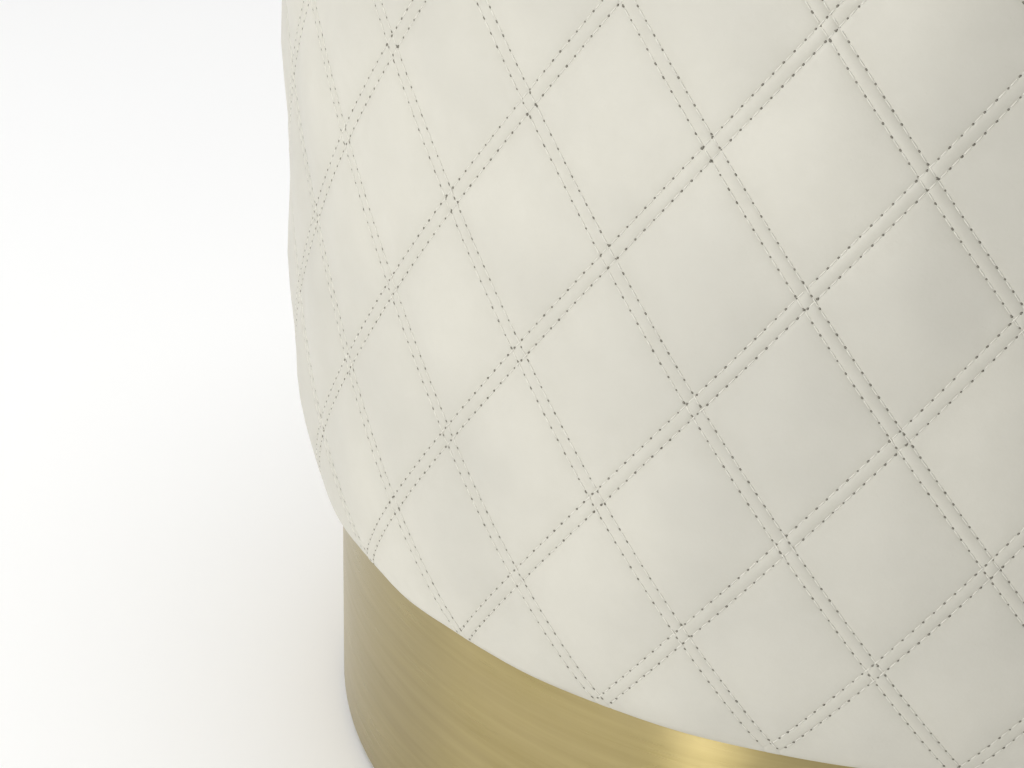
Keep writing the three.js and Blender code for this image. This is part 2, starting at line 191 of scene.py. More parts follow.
def sew_swatch():
    """Simulates a flat swatch of cloth sewn down along the twin rows and blown up from below. Returns the
    heights of its pillows, each a square grid in lattice coordinates, with a mean peak of 1."""
    count = SWATCH_CELLS * SWATCH_GRID
    a, b = np.meshgrid(np.arange(count + 1), np.arange(count + 1), indexing="ij")
    x = (b - a) / SWATCH_GRID * COLUMN_WIDTH * SWATCH_SCALE
    y = (b + a) / SWATCH_GRID * ROW_STEP * SWATCH_SCALE
    unevenness = np.random.default_rng(3).normal(0, SWATCH_UNEVENNESS * SWATCH_SCALE, a.shape)
    sewn_lines = (0, 1, SWATCH_GRID - 1)
    held = np.isin(a % SWATCH_GRID, sewn_lines) | np.isin(b % SWATCH_GRID, sewn_lines)
    points = np.stack([x, y, np.where(held, 0, unevenness)], 2).reshape(-1, 3)
    number = np.arange(a.size).reshape(a.shape)
    corners = (number[:-1, :-1], number[:-1, 1:], number[1:, 1:], number[1:, :-1])
    swatch = new_object("swatch", points, np.stack(corners, 2).reshape(-1, 4).tolist(), None)
    sewn_points = swatch.vertex_groups.new(name="sewn")
    sewn_points.add(number[held].tolist(), 1.0, "REPLACE")
    cloth = swatch.modifiers.new("cloth", "CLOTH")
    cloth.point_cache.frame_end = SWATCH_FRAMES
    cloth.collision_settings.use_collision = False
    settings = cloth.settings
    settings.vertex_group_mass = "sewn"
    settings.effector_weights.gravity = 0
    settings.use_pressure = True
    settings.uniform_pressure_force = SWATCH_PRESSURE
    settings.tension_stiffness = 2
    settings.compression_stiffness = 2
    settings.shear_stiffness = 1
    settings.bending_stiffness = 10
    for frame_number in range(1, SWATCH_FRAMES + 1):
        bpy.context.scene.frame_set(frame_number)
    blown = swatch.evaluated_get(bpy.context.evaluated_depsgraph_get()).data
    heights = np.zeros(a.size * 3)
    blown.vertices.foreach_get("co", heights)
    heights = heights[2::3].reshape(a.shape)
    bpy.data.objects.remove(swatch)
    bpy.context.scene.frame_set(1)
    soft = heights.copy()
    soft[1:-1, 1:-1] = (heights[1:-1, 1:-1] * 2 + heights[:-2, 1:-1] + heights[2:, 1:-1]) / 6
    soft[1:-1, 1:-1] += (heights[1:-1, :-2] + heights[1:-1, 2:]) / 6
    pillows = []
    for i in range(0, count, SWATCH_GRID):
        for j in range(0, count, SWATCH_GRID):
            pillows.append(soft[i:i + SWATCH_GRID + 1, j:j + SWATCH_GRID + 1])
    pillows = np.array(pillows)
    return pillows / pillows.max((1, 2)).mean()


def pillow_shape(p, q):
    """Height of the pillow there, as a share of a full one. Each diamond borrows one of the swatch's."""
    i, j = np.floor(p), np.floor(q)
    across, along = p - i, q - j
    mirrored = scatter(i + 7, j) > 0.5
    across, along = np.where(mirrored, along, across), np.where(mirrored, across, along)
    turned = scatter(i, j + 5) > 0.5
    across, along = np.where(turned, 1 - across, across), np.where(turned, 1 - along, along)
    which = (scatter(i, j) * len(PILLOWS)).astype(int)
    across, along = across * SWATCH_GRID, along * SWATCH_GRID
    u = np.clip(across.astype(int), 0, SWATCH_GRID - 1)
    v = np.clip(along.astype(int), 0, SWATCH_GRID - 1)
    across, along = across - u, along - v
    near = PILLOWS[which, u, v] * (1 - along) + PILLOWS[which, u, v + 1] * along
    far = PILLOWS[which, u + 1, v] * (1 - along) + PILLOWS[which, u + 1, v + 1] * along
    return near * (1 - across) + far * across


def sewn(distance):
    """Relief of a line's own twin rows: a channel under each thread and a soft bulge between them."""
    bulge = BAND_BULGE * np.maximum(1 - (distance / ROW_OFFSET) ** 2, 0)
    channel = CHANNEL_DEPTH * np.exp(-(((distance - ROW_OFFSET) / CHANNEL_WIDTH) ** 2))
    return bulge - channel


def relief(p, q):
    """Height of the leather over its stitch lines."""
    to_p = np.abs(p - np.round(p)) * LINE_SPACING
    to_q = np.abs(q - np.round(q)) * LINE_SPACING
    fullness = 0.92 + 0.16 * scatter(np.floor(p), np.floor(q) + 31)
    pillow = np.maximum(pillow_shape(p, q), 0) ** PILLOW_SOFTNESS
    return PILLOW_HEIGHT * fullness * pillow + sewn(to_p) + sewn(to_q)


PILLOWS = sew_swatch()


def crease_distance(p, q):
    """Distance to the nearest stitch line."""
    return np.minimum(np.abs(p - np.round(p)), np.abs(q - np.round(q))) * LINE_SPACING


# The side panel

def side_profile(row):
    """Radius, height and outward direction of the panel's stitch surface at a row."""
    length = FOOT_ROW_RISE + np.asarray(row) * ROW_STEP
    columns = (SECTION_RADIUS, SECTION_Z, SECTION_OUT, SECTION_UP)
    return tuple(np.interp(length, SECTION_LENGTH, column) for column in columns)


SWAY = 0.35 * MM


def body_sway(angle, height):
    """The stuffed drum's slow unevenness."""
    return SWAY * (np.sin(3 * angle + 40 * height) + np.sin(5 * angle - 23 * height + 1.7))


SEAM_CUT = 2.2 * MM  # depth of the closing seam's sharp cut
SEAM_CUT_WIDTH = 0.8 * MM
SEAM_HOLLOW = 0.5 * MM  # and of the soft hollow round it
SEAM_HOLLOW_WIDTH = 4 * MM


def closing_seam(from_seam):
    """Drop of the leather at the panel's closing seam, by distance from it."""
    cut = SEAM_CUT * np.exp(-np.abs(from_seam) / SEAM_CUT_WIDTH)
    hollow = SEAM_HOLLOW * np.exp(-((from_seam / SEAM_HOLLOW_WIDTH) ** 2))
    return -cut - hollow


SEAM_OPENING = 1.2 * MM  # the lattice stops this far from the closing seam
SEAM_SQUEEZE = 2.2 * MM
SEAM_STRIP_PLACES = [x * MM for x in (-0.7, -0.25, 0, 0.25, 0.7)]
FOOT_FINE_ROWS = (0.3, 0.2)  # rows below which the mesh is twice as fine, and four times
LEATHER = 1.2 * MM


def side_angle(column):
    """Angle of a column, with the columns beside the closing seam pressed away from it."""
    left = (column - SEAM_COLUMN) * COLUMN_WIDTH
    right = (SEAM_COLUMN + COLUMNS_ROUND - column) * COLUMN_WIDTH
    push = SEAM_OPENING * (np.exp(-left / SEAM_SQUEEZE) - np.exp(-right / SEAM_SQUEEZE))
    return LATTICE_TURN + column * COLUMN_STEP + push / PANEL_RADIUS


# How far from the closing seam, the top seam and the foot the pillows reach their full relief
SEAM_FADE = 9 * MM
HEAD_FADE_ROWS = 0.16
FOOT_FADE_ROWS = 0.4


def side_points(p, q, lift=0.0):
    """Points of the side panel, and the outward directions there."""
    column, row = q - p, q + p
    angle = side_angle(column)
    radius, height, out, up = side_profile(row)
    seam_angle = LATTICE_TURN + SEAM_COLUMN * COLUMN_STEP
    from_seam = (np.mod(angle - seam_angle + math.pi, 2 * math.pi) - math.pi) * PANEL_RADIUS
    pulled = smooth_step(np.abs(from_seam) / SEAM_FADE) * smooth_step((ROWS - row) / HEAD_FADE_ROWS + 0.2)
    pulled = pulled * (0.5 + 0.5 * smooth_step(row / FOOT_FADE_ROWS))
    rise_here = relief(p, q) * pulled + closing_seam(from_seam) + body_sway(angle, height) + lift
    radius = radius + out * rise_here
    height = height + up * rise_here
    points = np.column_stack([radius * np.sin(angle), -radius * np.cos(angle), height])
    outward = np.column_stack([out * np.sin(angle), -out * np.cos(angle), up])
    return points, outward


def side_lattice():
    """The panel's quilted face laid flat: lattice coordinates of its points, and its faces."""
    last_row = ROWS * LINES_PER_DIAMOND
    first = SEAM_COLUMN * LINES_PER_DIAMOND
    last = first + COLUMNS_ROUND * LINES_PER_DIAMOND
    rows, columns = np.meshgrid(np.arange(last_row + 1), np.arange(first, last + 1), indexing="ij")
    used = (rows + columns) % 2 == 0
    number = np.full(rows.shape, -1)
    number[used] = np.arange(used.sum())
    row, column = rows[used], columns[used]
    flat = np.column_stack([lattice_position((row - column) // 2), lattice_position((row + column) // 2)])
    faces = []
    for s, d in zip(*np.nonzero(~used)):
        around = []
        for ds, dd in ((-1, 0), (0, 1), (1, 0), (0, -1)):
            if 0 <= s + ds <= last_row and 0 <= d + dd <= last - first:
                around.append(int(number[s + ds, d + dd]))
        faces.append(tuple(around))
    return flat, faces


def refined(flat, faces, chosen):
    """Splits the chosen faces round their middles. A neighbour takes in the new points on its edges."""
    flat = [tuple(point) for point in flat]
    middles = {}
    for face, split in zip(faces, chosen):
        if split:
            for a, b in zip(face, face[1:] + face[:1]):
                edge = (min(a, b), max(a, b))
                if edge not in middles:
                    middles[edge] = len(flat)
                    flat.append(((flat[a][0] + flat[b][0]) / 2, (flat[a][1] + flat[b][1]) / 2))
    made = []
    for face, split in zip(faces, chosen):
        around = []
        for a, b in zip(face, face[1:] + face[:1]):
            around.append(a)
            edge = (min(a, b), max(a, b))
            if edge in middles:
                around.append(middles[edge])
        if split:
            centre = len(flat)
            flat.append(tuple(np.mean([flat[n] for n in face], 0)))
            for k in range(0, len(around), 2):
                made.append((around[k], around[k + 1], centre, around[k - 1]))
        else:
            made.append(tuple(around))
    return np.array(flat), made


def along_edge(across, value, along):
    """Numbers of the points where across has a value, in the order of along."""
    found = np.nonzero(np.abs(across - value) < 1e-6)[0]
    return found[np.argsort(along[found])]


def seam_strip(rows, left, right, start):
    """Columns of points down the closing seam between the panel's two ends, and the faces that join them."""
    radius, height, out, up = side_profile(rows)
    seam_angle = LATTICE_TURN + SEAM_COLUMN * COLUMN_STEP
    points, loops = [], [left]
    for place in SEAM_STRIP_PLACES:
        angle = seam_angle + place / PANEL_RADIUS
        drop = closing_seam(place) + body_sway(angle, height)
        at = radius + out * drop
        points.append(np.column_stack([at * math.sin(angle), -at * math.cos(angle), height + up * drop]))
        loops.append(start + np.arange(len(rows)) + len(rows) * (len(points) - 1))
    loops.append(right)
    faces = []
    for a, b in zip(loops, loops[1:]):
        faces += [(int(a[j]), int(b[j]), int(b[j + 1]), int(a[j + 1])) for j in range(len(rows) - 1)]
    return np.vstack(points), faces, loops[1:-1]


UNDERSIDE_IN = FOOT_RADIUS - band_high.x - FIT_GAP  # from the lowest point in to the body's flat underside


UNDERSIDE_TURNS = np.radians((25, 50, 72))
LOWEST_SHARE = 0.3  # of row 0's relief, at the lowest point


def underside():
    """(radius, height, share of row 0's relief) of the rings from row 0 round under the foot."""
    rings = []
    for length in np.linspace(FOOT_ROW_RISE, 0, 6)[1:]:
        radius = np.interp(length, SECTION_LENGTH, SECTION_RADIUS)
        height = np.interp(length, SECTION_LENGTH, SECTION_Z)
        rings.append((radius, height, LOWEST_SHARE + (1 - LOWEST_SHARE) * length / FOOT_ROW_RISE))
    for turn in UNDERSIDE_TURNS:
        radius = FOOT_RADIUS - UNDERSIDE_IN * math.sin(turn)
        height = LOWEST_Z + FOOT_SAG * (1 - math.cos(turn))
        rings.append((radius, height, LOWEST_SHARE * math.cos(turn)))
    return rings


def side_cover(leather):
    """The panel's quilted face, its turned foot, its hem under the body and its back, as one skin."""
    flat, faces = side_lattice()
    for limit in FOOT_FINE_ROWS:
        row = flat.sum(1)
        flat, faces = refined(flat, faces, [min(row[n] for n in face) < limit for face in faces])
    p, q = flat[:, 0], flat[:, 1]
    row, column = p + q, q - p
    points, _ = side_points(p, q)
    first_end = along_edge(column, SEAM_COLUMN, row)
    last_end = along_edge(column, SEAM_COLUMN + COLUMNS_ROUND, row)
    strip, strip_faces, strip_loops = seam_strip(row[last_end], last_end, first_end, len(points))
    faces += strip_faces
    foot = along_edge(row, 0, column)
    head = along_edge(row, ROWS, column)
    foot_loop = [int(n) for n in foot] + [int(c[0]) for c in strip_loops]
    head_loop = [int(n) for n in head] + [int(c[-1]) for c in strip_loops]
    picks = list(np.searchsorted(column[foot], column[head] - 1e-6))
    picks += range(len(foot), len(foot) + len(strip_loops))

    stack = [points, strip]
    everything = np.vstack(stack)
    total = len(everything)
    fine_angles = np.arctan2(everything[foot_loop, 0], -everything[foot_loop, 1])
    coarse_angles = fine_angles[picks]
    under = FOOT_RADIUS - UNDERSIDE_IN
    hem_inner = dust_high.x + FIT_GAP
    foot_radius, _, _, _ = side_profile(0.0)
    foot_rise = np.hypot(everything[foot_loop, 0], everything[foot_loop, 1]) - foot_radius
    hidden = [
        (under, FOOT_Z),
        ((under + hem_inner) / 2, FOOT_Z),
        (hem_inner, FOOT_Z),
        (hem_inner, FOOT_Z + LEATHER),
        (under + 0.6 * MM, FOOT_Z + LEATHER),
        (FOOT_RADIUS - 1.5 * MM, LOWEST_Z + 2 * LEATHER),
    ]
    back_heights = [FOOT_Z, (FOOT_Z + TUCK_TOP) / 2, TUCK_TOP]
    back_heights += list(np.linspace(side_high.z - SEAM_DRAW_HEIGHT, side_high.z, 4))
    hidden += [(wall_radius(z) - LEATHER, z) for z in back_heights]
    loop = foot_loop
    for radius, height, share in underside():
        stack.append(ring_points(fine_angles, radius + share * foot_rise, height))
        ring = list(range(total, total + len(fine_angles)))
        faces += band_faces(loop, ring)
        loop = ring
        total += len(ring)
    for radius, height in hidden:
        stack.append(ring_points(coarse_angles, radius, height))
        ring = list(range(total, total + len(coarse_angles)))
        faces += coarser_band(loop, picks, ring) if len(loop) > len(ring) else band_faces(loop, ring)
        loop = ring
        total += len(ring)
    faces += band_faces(loop, head_loop)
    made = new_object("quilted_side_cover", np.vstack(stack), faces, leather)
    paint_creases(made, crease_distance(p, q))
    return made


# Stitches

def twin_rows(line_numbers, span):
    """(line coordinate, start, end) of every sewn row of a family of lines. span gives a line's ends."""
    rows = []
    for number in line_numbers:
        for side in (-1, 1):
            line = number + side * ROW_OFFSET / LINE_SPACING
            start, end = span(line)
            if end - start > 2 * STITCH_PITCH / DIAMOND_SIDE:
                rows.append((line, start, end))
    return rows


def row_holes(rows, seed):
    """Hole coordinates of every row: the row's own line, and the places along it with a little jitter."""
    random = np.random.default_rng(seed)
    pitch = STITCH_PITCH / DIAMOND_SIDE
    holes = []
    for line, start, end in rows:
        along = np.arange(start + random.uniform(0, pitch), end, pitch)
        along = along + random.normal(0, 0.02 * pitch, len(along))
        holes.append((np.full(len(along), line), along))
    return holes


STITCH_STATIONS = (0.1, 0.26, 0.74, 0.9)
STITCH_LIFTS = (-0.6 * MM, 0.06 * MM, 0.06 * MM, -0.6 * MM)
STITCH_GIRTHS = (0.7, 1.0, 1.0, 0.7)
THREAD_SIDES = 5


def thread_mesh(name, rows, surface, material):
    """One short, closed length of thread between each two neighbouring holes."""
    starts_line, starts, ends = [], [], []
    for line, along in rows:
        starts_line.append(line[:-1])
        starts.append(along[:-1])
        ends.append(along[1:])
    line, start, end = (np.concatenate(x) for x in (starts_line, starts, ends))
    middles, outwards = [], []
    for station, lift in zip(STITCH_STATIONS, STITCH_LIFTS):
        at, outward = surface(line, start + station * (end - start), lift)
        middles.append(at)
        outwards.append(outward)
    centre = np.stack(middles, 1)
    out = np.stack(outwards, 1)
    forward = centre[:, -1] - centre[:, 0]
    forward /= np.linalg.norm(forward, axis=1, keepdims=True)
    across = np.cross(forward[:, None, :], out)
    turns = np.arange(THREAD_SIDES) * 2 * math.pi / THREAD_SIDES
    girth = np.array(STITCH_GIRTHS) * THREAD_RADIUS
    ring = (
        across[:, :, None, :] * np.cos(turns)[None, None, :, None]
        + out[:, :, None, :] * np.sin(turns)[None, None, :, None]
    ) * girth[None, :, None, None]
    points = (centre[:, :, None, :] + ring).reshape(-1, 3)
    pattern = []
    stations = len(STITCH_STATIONS)
    for s in range(stations - 1):
        for k in range(THREAD_SIDES):
            n = (k + 1) % THREAD_SIDES
            a, b = s * THREAD_SIDES, (s + 1) * THREAD_SIDES
            pattern.append((a + k, b + k, b + n, a + n))
    cap = (stations - 1) * THREAD_SIDES
    pattern.append(tuple(range(THREAD_SIDES)))
    pattern.append(tuple(cap + k for k in reversed(range(THREAD_SIDES))))
    per_stitch = stations * THREAD_SIDES
    faces = [tuple(base + k for k in face) for base in range(0, len(points), per_stitch) for face in pattern]
    return new_object(name, points, faces, material)


HOLE_SIDES = 6
HOLE_LIFT = 0.1 * MM  # of its rim over the channel's bottom
HOLE_DEPTH = 0.3 * MM
HOLE_STRETCH = 1.2  # along the row


def hole_mesh(name, rows, surface, material):
    """A small pit at each needle hole, at the bottom of its thread channel, coloured dark as painted shade.
    """
    line = np.concatenate([r[0] for r in rows])
    along = np.concatenate([r[1] for r in rows])
    step = 0.2 * STITCH_PITCH / DIAMOND_SIDE
    centre, out = surface(line, along, HOLE_LIFT)
    ahead, _ = surface(line, along + step, HOLE_LIFT)
    forward = ahead - centre
    forward /= np.linalg.norm(forward, axis=1, keepdims=True)
    across = np.cross(out, forward)
    turns = np.arange(HOLE_SIDES) * 2 * math.pi / HOLE_SIDES
    from_line = np.abs(along - np.round(along)) * LINE_SPACING
    shared = np.abs(from_line - ROW_OFFSET) < STITCH_PITCH / 2
    size = np.where(shared, CROSSING_HOLE_RADIUS, HOLE_RADIUS)
    radius = (size * (0.75 + 0.45 * scatter(line * 37, along * 11)))[:, None, None]
    rim = centre[:, None, :] + radius * (
        HOLE_STRETCH * forward[:, None, :] * np.cos(turns)[None, :, None]
        + across[:, None, :] * np.sin(turns)[None, :, None]
    )
    deep = centre - HOLE_DEPTH * out
    points = np.concatenate([rim, centre[:, None, :], deep[:, None, :]], 1).reshape(-1, 3)
    pattern = []
    for k in range(HOLE_SIDES):
        n = (k + 1) % HOLE_SIDES
        pattern.append((k, n, HOLE_SIDES))
        pattern.append((n, k, HOLE_SIDES + 1))
    per_hole = HOLE_SIDES + 2
    faces = [tuple(base + k for k in face) for base in range(0, len(points), per_hole) for face in pattern]
    return new_object(name, points, faces, material)


def stitching(part, rising, falling, points, thread, pit):
    """Threads and holes of a part's rows. points places them from lattice coordinates p and q."""
    def on_falling(line, along, lift):
        return points(along, line, lift)

    families = (("rising", rising, points), ("falling", falling, on_falling))
    threads = [thread_mesh(f"{part}_stitches_{name}", rows, at, thread) for name, rows, at in families]
    holes = [hole_mesh(f"{part}_needle_holes_{name}", rows, at, pit) for name, rows, at in families]
    return threads, holes


STITCH_MARGIN = STITCH_CLEARANCE / DIAMOND_SIDE


def rising_span(line):
    """Where a rising row starts and ends on the side panel: at the foot or a seam."""
    start = max(-line, line + SEAM_COLUMN) + STITCH_MARGIN / 4
    return start, min(ROWS - line, line + SEAM_COLUMN + COLUMNS_ROUND) - STITCH_MARGIN


def falling_span(line):
    """Where a falling row does."""
    start = max(-line, line - SEAM_COLUMN - COLUMNS_ROUND) + STITCH_MARGIN / 4
    return start, min(ROWS - line, line - SEAM_COLUMN) - STITCH_MARGIN


def side_stitching(thread, pit):
    """Both families of rows. The rising lines keep p, and the falling lines keep q."""
    lines = range(-COLUMNS_ROUND, COLUMNS_ROUND)
    rising = row_holes(twin_rows(lines, rising_span), seed=4)
    falling = row_holes(twin_rows(lines, falling_span), seed=5)
    return stitching("side", rising, falling, side_points, thread, pit)


# The top

TOP_RADIUS = top_high.x
TOP_Z = top_high.z
CROWN_POWER = 2.4
TOP_SHEET = 3 * MM
CROWN_DROP = TOP_Z - top_low.z - TOP_SHEET
TOP_FINE_MARGINS = (24 * MM, 11 * MM)  # widths of the finer mesh along the rim
TOP_SINK = 2.2 * MM  # of the stitch lines under CAD's crown
TOP_EDGE_ROLL = 9 * MM
TOP_EDGE_DROP = 1.3 * MM  # at the seam, beyond the crown's own curve
TOP_FADE = 12 * MM  # how far from the rim the pillows reach their full relief
TOP_SWAY = 0.3 * MM
PUCKER_COUNT = 190
PUCKER_DEPTH = 0.22 * MM
PUCKER_LENGTH = 4 * MM  # from the seam inwards


def crown(radius):
    """Height of the top's stitch lines at a distance from the middle."""
    near_edge = np.clip((radius - TOP_RADIUS + TOP_EDGE_ROLL) / TOP_EDGE_ROLL, 0, 1)
    curve = CROWN_DROP * (radius / TOP_RADIUS) ** CROWN_POWER
    return TOP_Z - TOP_SINK - curve - TOP_EDGE_DROP * near_edge**2.5


def top_points(p, q, lift=0.0):
    """Points of the top cover, and the outward directions there."""
    x = (q - p) * COLUMN_WIDTH
    y = (q + p) * ROW_STEP
    radius = np.hypot(x, y)
    from_rim = np.maximum(TOP_RADIUS - radius, 0)
    pulled = smooth_step(from_rim / TOP_FADE)
    angle = np.arctan2(x, -y)
    ripple = np.sin(PUCKER_COUNT * angle + 3 * np.sin(7 * angle))
    pucker = PUCKER_DEPTH * ripple * np.exp(-from_rim / PUCKER_LENGTH)
    sway = TOP_SWAY * np.sin(23 * x + 1) * np.sin(19 * y)
    height = crown(radius) + relief(p, q) * pulled + pucker + sway + lift
    slope = CROWN_DROP * CROWN_POWER / TOP_RADIUS * (radius / TOP_RADIUS) ** (CROWN_POWER - 1)
    tilt = slope / np.maximum(radius, MM)
    outward = np.column_stack([x * tilt, y * tilt, np.ones_like(x)])
    outward /= np.linalg.norm(outward, axis=1, keepdims=True)
    return np.column_stack([x, y, height]), outward


def flat_radius(flat):
    return np.hypot((flat[:, 1] - flat[:, 0]) * COLUMN_WIDTH, (flat[:, 1] + flat[:, 0]) * ROW_STEP)


def clipped(flat, faces, limit):
    """Cuts the flat quilting to a disc. An edge that leaves the disc ends on its rim."""
    radius = flat_radius(flat)
    points = [tuple(point) for point in flat]
    ends = {}
    made = []
    for face in faces:
        if all(radius[n] >= limit for n in face):
            continue
        around = []
        for a, b in zip(face, face[1:] + face[:1]):
            if radius[a] < limit:
                around.append(a)
            if (radius[a] < limit) != (radius[b] < limit):
                edge = (min(a, b), max(a, b))
                if edge not in ends:
                    ends[edge] = len(points)
                    points.append(tuple(rim_crossing(flat[edge[0]], flat[edge[1]], limit)))
                around.append(ends[edge])
        made.append(tuple(around))
    used = np.zeros(len(points), bool)
    used[[n for face in made for n in face]] = True
    renumber = np.cumsum(used) - 1
    made = [tuple(int(renumber[n]) for n in face) for face in made]
    rim = [int(renumber[n]) for n in ends.values()]
    return np.array(points)[used], made, rim


def rim_crossing(a, b, limit):
    """Where the way from a to b meets the disc's rim, found by halving."""
    low, high = (a, b) if flat_radius(a[None])[0] < limit else (b, a)
    for _ in range(30):
        middle = (low + high) / 2
        if flat_radius(middle[None])[0] < limit:
            low = middle
        else:
            high = middle
    return low


def top_lattice():
    """The top's quilted face laid flat, finer near its rim, and the numbers of its rim points in order."""
    reach = int(TOP_RADIUS / LINE_SPACING + 2) * LINES_PER_DIAMOND
    lines = np.arange(-reach, reach + 1)
    a, b = np.meshgrid(lines, lines, indexing="ij")
    flat = np.column_stack([lattice_position(a.ravel()), lattice_position(b.ravel())])
    number = np.arange(len(flat)).reshape(a.shape)
    near = (flat_radius(flat) < TOP_RADIUS).reshape(a.shape)
    kept = near[:-1, :-1] | near[1:, :-1] | near[:-1, 1:] | near[1:, 1:]
    faces = []
    for i, j in zip(*np.nonzero(kept)):
        corners = (number[i, j], number[i, j + 1], number[i + 1, j + 1], number[i + 1, j])
        faces.append(tuple(int(n) for n in corners))
    for margin in TOP_FINE_MARGINS:
        radius = flat_radius(flat)
        chosen = [max(radius[n] for n in face) > TOP_RADIUS - margin for face in faces]
        flat, faces = refined(flat, faces, chosen)
    flat, faces, rim = clipped(flat, faces, TOP_RADIUS)
    x = (flat[rim, 1] - flat[rim, 0]) * COLUMN_WIDTH
    y = (flat[rim, 1] + flat[rim, 0]) * ROW_STEP
    return flat, faces, [rim[n] for n in np.argsort(np.arctan2(x, -y))]


def top_cover(leather):
    """The top's quilted face, closed by its rim and its underside."""
    flat, faces, loop = top_lattice()
    points, _ = top_points(flat[:, 0], flat[:, 1])
    angles = np.arctan2(points[loop, 0], -points[loop, 1])
    rim_z = float(points[loop, 2].mean())
    under = TOP_Z - TOP_SHEET
    rings = [(TOP_RADIUS - 0.5 * MM, rim_z - 0.8 * MM), (TOP_RADIUS - 3 * MM, rim_z - 0.5 * MM)]
    for radius in np.linspace(TOP_RADIUS - 5 * MM, 40 * MM, 7):
        rings.append((radius, under - CROWN_DROP * (radius / TOP_RADIUS) ** CROWN_POWER))
    stack = [points]
    total = len(points)
    for radius, height in rings:
        stack.append(ring_points(angles, radius, height))
        ring = list(range(total, total + len(loop)))
        faces += band_faces(loop, ring)
        loop = ring
        total += len(loop)
    stack.append(np.array([[0, 0, under]]))
    faces += [(loop[(c + 1) % len(loop)], loop[c], total) for c in range(len(loop))]
    made = new_object("quilted_top_cover", np.vstack(stack), faces, leather)
    paint_creases(made, crease_distance(flat[:, 0], flat[:, 1]))
    return made


def top_span(line):
    """Where a sewn row starts and ends on the top: both ends stop short of the rim."""
    ends = np.linspace(-10, 10, 8001)
    x = (ends - line) * COLUMN_WIDTH
    y = (ends + line) * ROW_STEP
    inside = ends[np.hypot(x, y) < TOP_RADIUS - 1.5 * STITCH_CLEARANCE]
    if len(inside) < 2:
        return 0.0, 0.0
    return inside[0], inside[-1]


def top_stitching(thread, pit):
    """The top's two families of rows are mirror images, so one span serves both."""
    lines = range(-6, 7)
    rows = row_holes(twin_rows(lines, top_span), seed=6)
    mirrored = row_holes(twin_rows(lines, top_span), seed=7)
    return stitching("top", rows, mirrored, top_points, thread, pit)


CREASE_WIDTH = 2.5 * MM


def paint_creases(made, crease):
    """Stores how close each point is to a stitch line, from 1 on it to 0 on a pillow. The leather's colour
    darkens with it, as dirt and painted shade.
    """
    values = np.zeros(len(made.data.vertices), np.float32)
    values[:len(crease)] = np.exp(-np.maximum(crease - ROW_OFFSET, 0) / CREASE_WIDTH)
    made.data.attributes.new("crease", "FLOAT", "POINT").data.foreach_set("value", values)


# Pieces turned about the Z axis

def revolved(name, outline, segments, material, shift=None, start=0.0, turn=2 * math.pi):
    """Turns an outline of (radius, height) about Z. It runs up its outer side, and is closed into a ring
    unless it starts and ends on the axis. shift moves the points."""
    whole = turn > 2 * math.pi - 1e-6
    steps = segments if whole else segments + 1
    outline = np.array(outline, float)
    count = len(outline)
    solid = outline[0, 0] == 0 and outline[-1, 0] == 0
    radius = np.repeat(outline[None, :, 0], steps, 0)
    height = np.repeat(outline[None, :, 1], steps, 0)
    angle = np.repeat(start + turn * np.arange(steps)[:, None] / segments, count, 1)
    if shift is not None:
        out, up = shift(radius, height, angle)
        radius, height = radius + out, height + up
    number = np.arange(steps * count).reshape(steps, count)
    if solid:
        number[:, 0] = number[0, 0]
        number[:, -1] = number[0, -1]
        radius[:, (0, -1)] = 0
    points = np.stack([radius * np.sin(angle), -radius * np.cos(angle), height], 2).reshape(-1, 3)
    faces = []
    for c in range(segments):
        here, there = number[c], number[(c + 1) % steps]
        for k in range(count - 1 if solid else count):
            n = (k + 1) % count
            around = [here[k], there[k], there[n], here[n]]
            faces.append(tuple(int(x) for x in dict.fromkeys(around)))
    if not whole:
        faces.append(tuple(int(x) for x in number[0, ::-1]))
        faces.append(tuple(int(x) for x in number[-1]))
    kept = np.zeros(len(points), bool)
    kept[number.ravel()] = True
    renumber = np.cumsum(kept) - 1
    faces = [tuple(int(renumber[x]) for x in face) for face in faces]
    return new_object(name, points[kept], faces, material)


def rounded(corners, bend=0.6 * MM, steps=4, support=0.8 * MM):
    """A closed outline with each corner rounded. A point beside each bend keeps the flats shaded flat."""
    outline = []
    count = len(corners)
    for k in range(count):
        here = np.array(corners[k])
        before = np.array(corners[k - 1]) - here
        after = np.array(corners[(k + 1) % count]) - here
        before_length, after_length = np.linalg.norm(before), np.linalg.norm(after)
        cut = min(bend, before_length * 0.3, after_length * 0.3)
        before, after = before / before_length, after / after_length
        outline.append(here + before * (cut + min(support, before_length * 0.15)))
        for t in np.linspace(0, 1, steps + 1):
            outline.append(here + before * cut * (1 - t) ** 2 + after * cut * t**2)
        outline.append(here + after * (cut + min(support, after_length * 0.15)))
    return [tuple(p) for p in outline]


def divided(outline, longest):
    """A closed outline with its long sides split up."""
    points = []
    for a, b in zip(outline, outline[1:] + outline[:1]):
        a, b = np.array(a), np.array(b)
        pieces = max(1, math.ceil(np.linalg.norm(b - a) / longest))
        points += [tuple(a + (b - a) * s / pieces) for s in range(pieces)]
    return points


BAND_SHEET = 1.5 * MM
BAND_FLANGE = 18 * MM
BAND_GAP = 0.4 * MM  # between the sheet's two ends, at the back
BAND_SEGMENTS = 360


